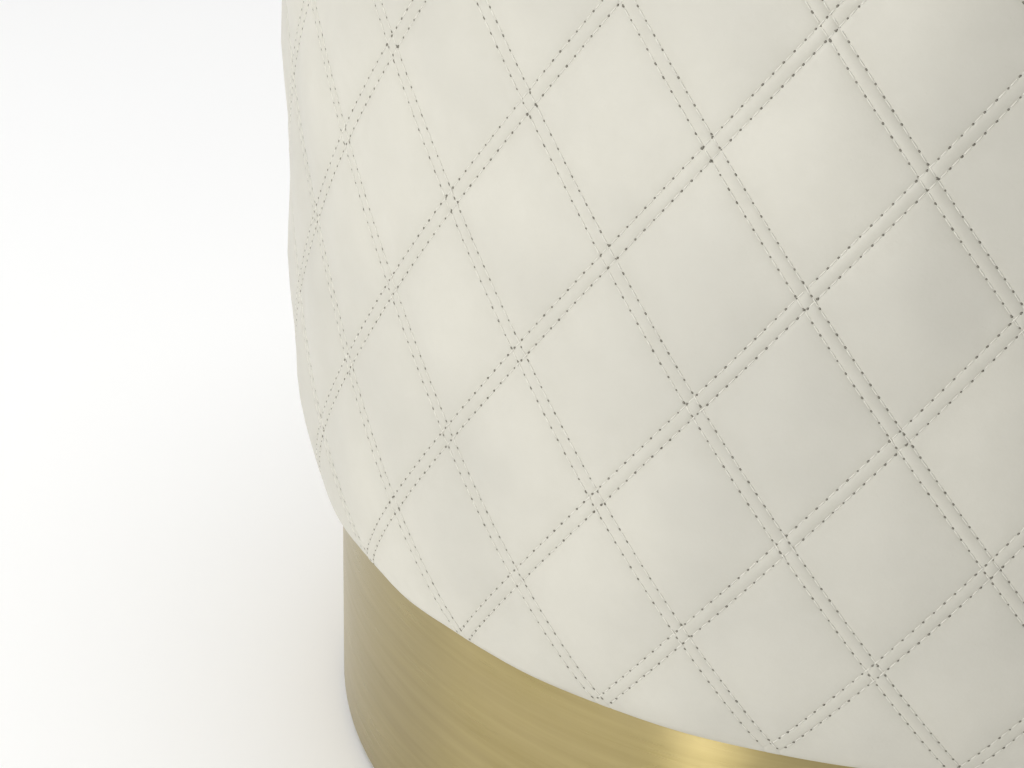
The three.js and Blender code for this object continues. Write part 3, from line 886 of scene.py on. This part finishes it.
def plinth_band(brass):
    """Brass sheet bent round the plinth, with a flange under it and its two ends butted at the back."""
    outer = band_high.x
    foot, top = band_low.z, band_high.z
    corners = [
        (outer - BAND_FLANGE, foot),
        (outer, foot),
        (outer, top),
        (outer - BAND_SHEET, top),
        (outer - BAND_SHEET, foot + BAND_SHEET),
        (outer - BAND_FLANGE, foot + BAND_SHEET),
    ]
    gap = BAND_GAP / outer
    return revolved(
        "brushed_brass_band",
        divided(rounded(corners), 20 * MM),
        BAND_SEGMENTS,
        brass,
        start=math.pi + gap / 2,
        turn=2 * math.pi - gap,
    )


WELT_RADIUS = 3.4 * MM
WELT_INSET = 3.5 * MM  # of its middle from CAD's outer edge
WELT_SIDES = 18


def welt(piping):
    """A cord covered in leather, sewn into the top seam. Its two ends meet over the closing seam."""
    ring_radius = welt_high.x - WELT_INSET
    middle = (welt_low.z + welt_high.z) / 2
    turns = np.arange(WELT_SIDES) * 2 * math.pi / WELT_SIDES
    outline = [(ring_radius + WELT_RADIUS * math.cos(t), middle + WELT_RADIUS * math.sin(t)) for t in turns]
    joint = LATTICE_TURN + SEAM_COLUMN * COLUMN_STEP

    def shift(radius, height, angle):
        from_joint = (np.mod(angle - joint + math.pi, 2 * math.pi) - math.pi) * ring_radius
        narrow = -0.9 * MM * np.exp(-((from_joint / (0.8 * MM)) ** 2))
        uneven = 0.05 * MM * (np.sin(61 * angle) + np.sin(97 * angle + 2) + np.sin(23 * angle + 1))
        swell = (narrow + uneven) / WELT_RADIUS
        return (radius - ring_radius) * swell, (height - middle) * swell

    return revolved("leather_welt", outline, 720, piping, shift, start=joint)


# Padding under the leather

def to_line(x, y):
    """Distance to the nearest stitch line, from places across and up the flat quilting."""
    p, q = (y / ROW_STEP - x / COLUMN_WIDTH) / 2, (y / ROW_STEP + x / COLUMN_WIDTH) / 2
    return np.minimum(np.abs(p - np.round(p)), np.abs(q - np.round(q))) * LINE_SPACING


DIMPLE_WIDTH = 4 * MM
LAYER_FADE = 20 * MM  # how far up a sleeve its dimples are full


def panel_outline(offset, low, high):
    """The side panel's wall between two heights, at an offset inside the stitch lines."""
    heights = np.linspace(low, high, 64)
    return [(max(wall_radius(z) - offset, barrel_high.x + 2 * FIT_GAP), z) for z in heights]


def side_layer(name, node, thickness, depth, roughness, material):
    """A sleeve of foam or wadding round the drum, drawn in under the stitch lines. Without a thickness, its
    back is the barrel's straight wall."""
    low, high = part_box(node)
    outer = panel_outline(PANEL_RADIUS - high.x, low.z, high.z)
    if thickness is None:
        inner = [(barrel_high.x + FIT_GAP, z) for z in np.linspace(low.z, high.z, 12)]
    else:
        inner = panel_outline(PANEL_RADIUS - high.x + thickness, low.z, high.z)

    def shift(radius, height, angle):
        across = (angle - LATTICE_TURN) * PANEL_RADIUS
        up = np.interp(height, SECTION_Z, SECTION_LENGTH) - FOOT_ROW_RISE
        dimple = depth * np.exp(-((to_line(across, up) / DIMPLE_WIDTH) ** 2))
        uneven = roughness * (2 - np.sin(41 * angle + 90 * height) - np.sin(67 * angle - 160 * height))
        face = np.zeros_like(radius)
        face[:, 1:len(outer) - 1] = smooth_step((height[:, 1:len(outer) - 1] - low.z) / LAYER_FADE)
        return -face * (dimple + uneven), 0 * radius

    return revolved(name, outer + inner[::-1], 384, material, shift)


def domed_layer(name, node, thickness, depth, roughness, material):
    """A round pad under the top cover, drawn down under the stitch lines. Without a thickness, its
    underside is flat."""
    low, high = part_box(node)
    spread = high.x * np.linspace(0, 1, 44)
    upper = [(r, high.z - CROWN_DROP * (r / TOP_RADIUS) ** CROWN_POWER) for r in spread]
    if thickness is None:
        foot = [(r, low.z) for r in spread[::4]] + [(high.x, low.z + 6 * MM), (high.x, low.z + 18 * MM)]
    else:
        foot = [(r, z - thickness) for r, z in upper[::3]]
    outline = foot + upper[::-1]

    def shift(radius, height, angle):
        x, y = radius * np.sin(angle), -radius * np.cos(angle)
        dimple = depth * np.exp(-((to_line(x, y) / DIMPLE_WIDTH) ** 2))
        uneven = roughness * (1 - np.sin(160 * x) * np.sin(150 * y))
        above = np.zeros_like(radius)
        above[:, len(foot) + 1:] = 1
        return 0 * radius, -above * (dimple + uneven)

    return revolved(name, outline, 360, material, shift)


# Materials

def start_material(name, roughness, metallic=0.0):
    """A node material. Returns the material, its node tree and its main shader."""
    material = bpy.data.materials.new(name)
    material.use_nodes = True
    tree = material.node_tree
    shader = tree.nodes["Principled BSDF"]
    shader.inputs["Roughness"].default_value = roughness
    shader.inputs["Metallic"].default_value = metallic
    return material, tree, shader


def node(tree, kind, links=None, **settings):
    """Adds a node. settings are its properties, and links its inputs' values or the sockets they get."""
    made = tree.nodes.new(kind)
    for key, value in settings.items():
        setattr(made, key, value)
    for key, value in (links or {}).items():
        if isinstance(value, bpy.types.NodeSocket):
            tree.links.new(value, made.inputs[key])
        else:
            made.inputs[key].default_value = value
    return made


def place(tree, scale=(1, 1, 1), turn=(0, 0, 0)):
    """The point in the object's own frame, stretched for a pattern that runs one way."""
    at = node(tree, "ShaderNodeTexCoord").outputs["Object"]
    return node(tree, "ShaderNodeMapping", {"Vector": at, "Scale": scale, "Rotation": turn}).outputs[0]


def round_place(tree):
    """The point as (distance round the Z axis at 1 m radius, distance from the axis, height)."""
    at = node(tree, "ShaderNodeTexCoord").outputs["Object"]
    split = node(tree, "ShaderNodeSeparateXYZ", {"Vector": at})
    angle = maths(tree, "ARCTAN2", split.outputs["X"], split.outputs["Y"])
    flat = node(tree, "ShaderNodeCombineXYZ", {"X": split.outputs["X"], "Y": split.outputs["Y"]})
    radius = node(tree, "ShaderNodeVectorMath", {0: flat.outputs[0]}, operation="LENGTH")
    parts = {"X": angle, "Y": radius.outputs["Value"], "Z": split.outputs["Z"]}
    return node(tree, "ShaderNodeCombineXYZ", parts).outputs[0]


def noise(tree, at, size, detail=4, roughness=0.5):
    """Noise from 0 to 1 whose features are about size metres across."""
    links = {"Vector": at, "Scale": 0.6 / size, "Detail": detail, "Roughness": roughness}
    return node(tree, "ShaderNodeTexNoise", links).outputs["Fac"]


def maths(tree, operation, *values):
    """Arithmetic on values or sockets."""
    return node(tree, "ShaderNodeMath", dict(enumerate(values)), operation=operation).outputs[0]


def cells(tree, at, scale, feature="F1", randomness=1.0):
    """Distance to the middles of cells, scale of them to a metre."""
    links = {"Vector": at, "Scale": scale, "Randomness": randomness}
    return node(tree, "ShaderNodeTexVoronoi", links, feature=feature).outputs["Distance"]


def waves(tree, at, scale, distortion, detail=2.0, wave_type="BANDS"):
    """Wavy bands or rings."""
    links = {"Vector": at, "Scale": scale, "Distortion": distortion, "Detail": detail}
    return node(tree, "ShaderNodeTexWave", links, wave_type=wave_type).outputs["Fac"]


def set_inputs(shader, **values):
    """Sets constants on the shader's own sockets."""
    for key, value in values.items():
        shader.inputs[key.replace("_", " ")].default_value = value


def between(tree, factor, low, high, start=0.3, end=0.7):
    """A value that goes from low to high as factor goes from start to end."""
    links = {"Value": factor, "From Min": start, "From Max": end, "To Min": low, "To Max": high}
    return node(tree, "ShaderNodeMapRange", links).outputs[0]


def mixed(tree, factor, a, b, mode="MIX"):
    """Mixes colour a towards colour b. A colour is a socket or three numbers."""
    made = node(tree, "ShaderNodeMix", data_type="RGBA", blend_type=mode)
    for key, value in ((0, factor), (6, a), (7, b)):
        if isinstance(value, bpy.types.NodeSocket):
            tree.links.new(value, made.inputs[key])
        else:
            made.inputs[key].default_value = value if key == 0 else (*value, 1)
    return made.outputs[2]


def bumped(tree, height, distance, strength=1.0, under=None):
    """A bump of a real depth in metres, on top of the bump under it."""
    links = {"Height": height, "Distance": distance, "Strength": strength}
    if under is not None:
        links["Normal"] = under
    return node(tree, "ShaderNodeBump", links).outputs[0]


def connect(tree, shader, **sockets):
    for key, value in sockets.items():
        tree.links.new(value, shader.inputs[key.replace("_", " ")])


LEATHER_COLOUR = (0.505, 0.490, 0.430)
LEATHER_WARM = (0.60, 0.58, 0.505)
# darker leather for random greasy patches, and for dirt and painted shade down in the stitch lines
LEATHER_GREASE_AND_SHADE = (0.46, 0.44, 0.365)


def leather_material(name):
    """Smooth coated hide: hardly any grain, faintly mottled, a little darker down in the stitch lines with
    dirt and painted shade.
    """
    material, tree, shader = start_material(name, 0.48)
    at = place(tree)
    mottle = noise(tree, at, 0.045, 3)
    colour = mixed(tree, between(tree, mottle, 0, 1), LEATHER_COLOUR, LEATHER_WARM)
    fine = noise(tree, at, 0.004, 5, 0.65)
    colour = mixed(tree, between(tree, fine, 0.0, 0.12), colour, LEATHER_GREASE_AND_SHADE)
    # Near the stitch lines the colour darkens: dirt and painted shade.
    crease = node(tree, "ShaderNodeAttribute", attribute_name="crease").outputs["Fac"]
    crease_dirt_and_shade = maths(tree, "MULTIPLY", crease, between(tree, fine, 0.1, 0.3))
    colour = mixed(tree, crease_dirt_and_shade, colour, LEATHER_GREASE_AND_SHADE)
    grain = bumped(tree, cells(tree, at, 900, "SMOOTH_F1"), 0.03 * MM)
    pore = between(tree, cells(tree, at, 420), 0, 1, 0.0, 0.18)
    grain = bumped(tree, pore, 0.02 * MM, under=grain)
    soft = bumped(tree, noise(tree, at, 0.018, 3), 0.6 * MM, under=grain)
    rough = between(tree, noise(tree, at, 0.01, 4), 0.43, 0.55)
    connect(tree, shader, Base_Color=colour, Roughness=rough, Normal=soft)
    set_inputs(shader, Specular_IOR_Level=0.5, Sheen_Weight=0.05, Sheen_Roughness=0.5)
    return material


def thread_material():
    """Twisted cream polyester."""
    material, tree, shader = start_material("cream_thread", 0.4)
    shade = between(tree, noise(tree, place(tree), 0.012), 0, 1)
    colour = mixed(tree, shade, (0.62, 0.60, 0.53), (0.69, 0.67, 0.59))
    twist = waves(tree, place(tree, turn=(0.6, 0.5, 0.7)), 900, 0.6)
    connect(tree, shader, Base_Color=colour, Normal=bumped(tree, twist, 0.04 * MM))
    set_inputs(shader, Sheen_Weight=0.15)
    return material


def pit_material():
    """The shade inside a needle hole."""
    material, tree, shader = start_material("needle_hole_shade", 0.95)
    shade = between(tree, noise(tree, place(tree), 0.009), 0, 1)
    connect(tree, shader, Base_Color=mixed(tree, shade, (0.19, 0.18, 0.145), (0.25, 0.24, 0.20)))
    set_inputs(shader, Specular_IOR_Level=0.1)
    return material


BRASS_COLOUR = (0.388, 0.312, 0.128)
BRASS_DULL = (0.42, 0.34, 0.165)


def scratches(tree, scale, detail, roughness=0.5):
    """Noise drawn out round the Z axis."""
    lines = node(tree, "ShaderNodeMapping", {"Vector": round_place(tree), "Scale": scale}).outputs[0]
    links = {"Vector": lines, "Scale": 1, "Detail": detail, "Roughness": roughness}
    return node(tree, "ShaderNodeTexNoise", links).outputs["Fac"]


def brushed_brass():
    """Brushed round the plinth: long fine scratches, blotches of tarnish, and reflections drawn upwards."""
    material, tree, shader = start_material("brushed_brass", 0.28, 1)
    brush = scratches(tree, (5, 40, 2600), 5, 0.6)
    streak = scratches(tree, (2.5, 10, 260), 3)
    blotch = noise(tree, place(tree, (1, 1, 1.6)), 0.035, 5, 0.6)
    colour = mixed(tree, between(tree, blotch, 0, 1, 0.35, 0.75), BRASS_COLOUR, BRASS_DULL)
    colour = mixed(tree, between(tree, brush, 0, 0.25), colour, (0.36, 0.28, 0.11))
    colour = mixed(tree, between(tree, streak, 0, 0.2), colour, (0.64, 0.53, 0.26))
    rough = maths(tree, "ADD", between(tree, brush, 0.25, 0.32), between(tree, blotch, 0.0, 0.05))
    ring = node(tree, "ShaderNodeTangent", direction_type="RADIAL", axis="Z").outputs[0]
    normal = bumped(tree, brush, 0.05 * MM)
    normal = bumped(tree, streak, 0.04 * MM, under=normal)
    connect(tree, shader, Base_Color=colour, Roughness=rough, Normal=normal, Tangent=ring)
    set_inputs(shader, Anisotropic=1.0, Anisotropic_Rotation=0.25, Coat_Weight=0.35, Coat_Roughness=0.2)
    return material


PLY_PAIR = 2.8 * MM  # thickness of two plies


def plywood_material():
    """Birch plywood: faces with long grain, edges in thin alternate plies."""
    material, tree, shader = start_material("birch_plywood", 0.62)
    at = place(tree, (1, 9, 1))
    bent = noise(tree, at, 0.05, 3)
    rings = waves(tree, at, 2.2, 9, 3)
    face = mixed(tree, between(tree, rings, 0, 1, 0, 1), (0.66, 0.50, 0.30), (0.74, 0.58, 0.37))
    face = mixed(tree, between(tree, bent, 0, 0.4), face, (0.50, 0.35, 0.19))
    height = node(tree, "ShaderNodeSeparateXYZ", {"Vector": place(tree)}).outputs["Z"]
    ply = maths(tree, "SINE", maths(tree, "MULTIPLY", height, 2 * math.pi / PLY_PAIR))
    edge = mixed(tree, between(tree, ply, 0, 1, -0.3, 0.3), (0.40, 0.27, 0.15), (0.70, 0.54, 0.34))
    normal = node(tree, "ShaderNodeNewGeometry").outputs["Normal"]
    up = node(tree, "ShaderNodeSeparateXYZ", {"Vector": normal}).outputs["Z"]
    level = maths(tree, "ABSOLUTE", up)
    colour = mixed(tree, between(tree, level, 0, 1, 0.4, 0.6), edge, face)
    fibre = noise(tree, place(tree, (1, 30, 1)), 0.004, 4)
    connect(tree, shader, Base_Color=colour, Normal=bumped(tree, fibre, 0.12 * MM))
    return material


def pine_material():
    """Planed pine with upright grain."""
    material, tree, shader = start_material("planed_pine", 0.65)
    rings = waves(tree, place(tree, (1, 1, 0.08)), 28, 5, 3, "RINGS")
    colour = mixed(tree, between(tree, rings, 0, 1, 0.2, 0.9), (0.76, 0.58, 0.34), (0.58, 0.37, 0.17))
    fibre = noise(tree, place(tree, (1, 1, 0.05)), 0.0012, 3)
    connect(tree, shader, Base_Color=colour, Normal=bumped(tree, fibre, 0.1 * MM))
    return material


def foam_material():
    """Open-cell upholstery foam."""
    material, tree, shader = start_material("upholstery_foam", 0.95)
    at = place(tree)
    cell = cells(tree, at, 1100)
    # Darker towards each cell's middle: painted shade down in the open pores.
    colour = mixed(tree, between(tree, cell, 0, 1, 0.1, 0.7), (0.55, 0.48, 0.28), (0.83, 0.77, 0.55))
    colour = mixed(tree, between(tree, noise(tree, at, 0.06), 0, 0.3), colour, (0.78, 0.66, 0.36))
    connect(tree, shader, Base_Color=colour, Normal=bumped(tree, cell, 0.4 * MM))
    return material


def wadding_material():
    """Needled polyester fibre."""
    material, tree, shader = start_material("polyester_wadding", 1)
    fibre = noise(tree, place(tree, (1, 1, 6), (0.4, 0.3, 0)), 0.002, 6, 0.7)
    tuft = noise(tree, place(tree), 0.012, 4)
    colour = mixed(tree, between(tree, fibre, 0, 1), (0.74, 0.74, 0.71), (0.88, 0.88, 0.86))
    normal = bumped(tree, fibre, 0.5 * MM, under=bumped(tree, tuft, 1.5 * MM))
    connect(tree, shader, Base_Color=colour, Normal=normal)
    set_inputs(shader, Sheen_Weight=0.4)
    return material


def non_woven_material():
    """Spun-bonded cloth with its grid of welded points."""
    material, tree, shader = start_material("black_non_woven", 0.9)
    dots = between(tree, cells(tree, place(tree), 620, randomness=0.0), 0, 1, 0.1, 0.35)
    fibre = noise(tree, place(tree, (1, 5, 1), (0, 0, 0.6)), 0.0015, 5, 0.7)
    colour = mixed(tree, between(tree, fibre, 0, 1), (0.012, 0.012, 0.014), (0.045, 0.045, 0.05))
    normal = bumped(tree, dots, 0.12 * MM, under=bumped(tree, fibre, 0.1 * MM))
    connect(tree, shader, Base_Color=colour, Normal=normal)
    return material


def nylon_material():
    """Moulded nylon, scuffed underneath where it slides."""
    material, tree, shader = start_material("brown_nylon", 0.5)
    scuff = noise(tree, place(tree, (1, 6, 1), (0, 0, 0.5)), 0.003, 5, 0.65)
    colour = mixed(tree, between(tree, scuff, 0, 0.5, 0.5, 0.75), (0.035, 0.028, 0.022), (0.12, 0.10, 0.085))
    fine = bumped(tree, noise(tree, place(tree), 0.8 * MM), 0.04 * MM)
    connect(tree, shader, Base_Color=colour, Roughness=between(tree, scuff, 0.4, 0.62), Normal=fine)
    return material


def screw_metal(name, colour, stain):
    """Plated metal, finely turned and a little stained."""
    material, tree, shader = start_material(name, 0.3, 1)
    at = place(tree)
    blotch = noise(tree, at, 0.004, 5, 0.6)
    made = mixed(tree, between(tree, blotch, 0, 0.7, 0.45, 0.7), colour, stain)
    turned = bumped(tree, noise(tree, at, 0.5 * MM, 3), 0.03 * MM)
    connect(tree, shader, Base_Color=made, Roughness=between(tree, blotch, 0.25, 0.45), Normal=turned)
    return material


def floor_material():
    """Pale matt paper with a very faint tooth."""
    material, tree, shader = start_material("pale_floor", 0.85)
    at = place(tree)
    colour = mixed(tree, between(tree, noise(tree, at, 0.4), 0, 1), (0.94, 0.94, 0.935), (0.96, 0.96, 0.955))
    connect(tree, shader, Base_Color=colour, Normal=bumped(tree, noise(tree, at, 0.002), 0.05 * MM))
    set_inputs(shader, Specular_IOR_Level=0.2)
    return material


# Camera, light and floor

CAMERA_PLACE = Vector((0, -0.8405, 0.5555))
CAMERA_PAN = math.radians(-9.74)  # from straight ahead, to the left
CAMERA_PITCH = math.radians(27.63)  # down
CAMERA_ROLL = math.radians(1.58)
CAMERA_LENS = 88.9


def add_camera():
    data = bpy.data.cameras.new("camera")
    data.lens = CAMERA_LENS
    data.clip_start = 0.05
    data.clip_end = 50
    camera = bpy.data.objects.new("camera", data)
    bpy.context.scene.collection.objects.link(camera)
    level = math.cos(CAMERA_PITCH)
    ahead = Vector((math.sin(CAMERA_PAN) * level, math.cos(CAMERA_PAN) * level, -math.sin(CAMERA_PITCH)))
    right = Vector((math.cos(CAMERA_PAN), -math.sin(CAMERA_PAN), 0))
    up = right.cross(ahead)
    rolled_right = math.cos(CAMERA_ROLL) * right + math.sin(CAMERA_ROLL) * up
    rolled_up = math.cos(CAMERA_ROLL) * up - math.sin(CAMERA_ROLL) * right
    axes = Matrix((rolled_right, rolled_up, -ahead)).transposed()
    camera.matrix_world = Matrix.Translation(CAMERA_PLACE) @ axes.to_4x4()
    bpy.context.scene.camera = camera


def add_panel(name, place_at, aim, size, power):
    """A rectangular studio light, size (width, height), facing aim."""
    data = bpy.data.lights.new(name, "AREA")
    data.shape = "RECTANGLE"
    data.size, data.size_y = size
    data.energy = power
    light = bpy.data.objects.new(name, data)
    bpy.context.scene.collection.objects.link(light)
    light.location = place_at
    light.visible_camera = False
    light.rotation_euler = (Vector(aim) - Vector(place_at)).to_track_quat("-Z", "Y").to_euler()


def add_world(strength):
    world = bpy.data.worlds.new("studio")
    world.use_nodes = True
    background = world.node_tree.nodes["Background"]
    background.inputs["Color"].default_value = (1, 1, 1, 1)
    background.inputs["Strength"].default_value = strength
    bpy.context.scene.world = world


FLOOR_REACH = 6.0
WORLD_STRENGTH = 0.4
# Each panel light's name, place, aim, size and power.
PANELS = (
    ("overhead", (-0.3, 0.3, 2.8), (0, 0, 0.25), (2.6, 2.6), 46),
    ("left_wall", (-2.0, -1.15, 1.25), (0, 0, 0.3), (2.2, 2.2), 24),
    ("key", (-0.77, -1.62, 0.34), (0, 0, 0.25), (0.28, 0.55), 8),
)


def add_floor(material):
    points = [(x * FLOOR_REACH, y * FLOOR_REACH, 0) for x, y in ((-1, -1), (1, -1), (1, 1), (-1, 1))]
    floor = new_object("studio_floor", points, [(0, 1, 2, 3)], material, smooth=False)


# Assembly

def finish_piece(piece, slot, *nodes):
    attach(piece, BODY)
    if nodes:
        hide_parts(*nodes)


def dress_frame(materials):
    """Gives each CAD node that shows its own material, by the record's slot."""
    for name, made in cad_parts.items():
        for slot in made.material_slots:
            slot.material = materials[slot.material.name.split(".")[0]]


# Each layer's maker, name, CAD node, slot, thickness, depth of its dimples, and roughness.
PADDING = (
    (side_layer, "side_foam_sleeve", "side_foam", "foam", None, 0.8 * MM, 0.05 * MM),
    (side_layer, "side_wadding_sleeve", "side_wadding", "wadding", 2.5 * MM, 0.9 * MM, 0.12 * MM),
    (domed_layer, "top_foam_pad", "top_foam", "foam", None, 1.5 * MM, 0.1 * MM),
    (domed_layer, "top_wadding_pad", "top_wadding", "wadding", 3 * MM, 0.9 * MM, 0.12 * MM),
)


def build():
    leather = leather_material("ivory_leather")
    piping = leather_material("ivory_leather_piping")
    thread = thread_material()
    pit = pit_material()
    brass = brushed_brass()
    foam = foam_material()
    wadding = wadding_material()
    steel = screw_metal("zinc_plated_steel", (0.62, 0.63, 0.65), (0.35, 0.34, 0.32))
    dress_frame({
        "leather": leather,
        "leather_piping": piping,
        "thread": thread,
        "brass_band": brass,
        "brass_screw": screw_metal("brass_screws", (0.62, 0.50, 0.24), (0.38, 0.28, 0.13)),
        "plywood": plywood_material(),
        "pine": pine_material(),
        "foam": foam,
        "wadding": wadding,
        "non_woven": non_woven_material(),
        "nylon": nylon_material(),
        "zinc_steel": steel,
    })

    side = side_cover(leather)
    finish_piece(side, "leather", "side_cover")
    top = top_cover(leather)
    finish_piece(top, "leather", "top_cover")
    finish_piece(welt(piping), "leather_piping", "welt_cord")
    finish_piece(plinth_band(brass), "brass_band", "plinth_band")

    for sewn_part in (side_stitching, top_stitching):
        threads, holes = sewn_part(thread, pit)
        for piece in threads:
            finish_piece(piece, "thread")
        for piece in holes:
            finish_piece(piece, "leather")

    for make, name, node_name, slot_name, thickness, depth, roughness in PADDING:
        material = foam if slot_name == "foam" else wadding
        piece = make(name, node_name, thickness, depth, roughness, material)
        finish_piece(piece, slot_name, node_name)


def light_scene():
    add_camera()
    add_floor(floor_material())
    add_world(WORLD_STRENGTH)
    for panel in PANELS:
        add_panel(*panel)
    view = bpy.context.scene.view_settings
    view.view_transform = "Standard"
    view.look = "None"


build()
light_scene()
bpy.context.view_layer.update()
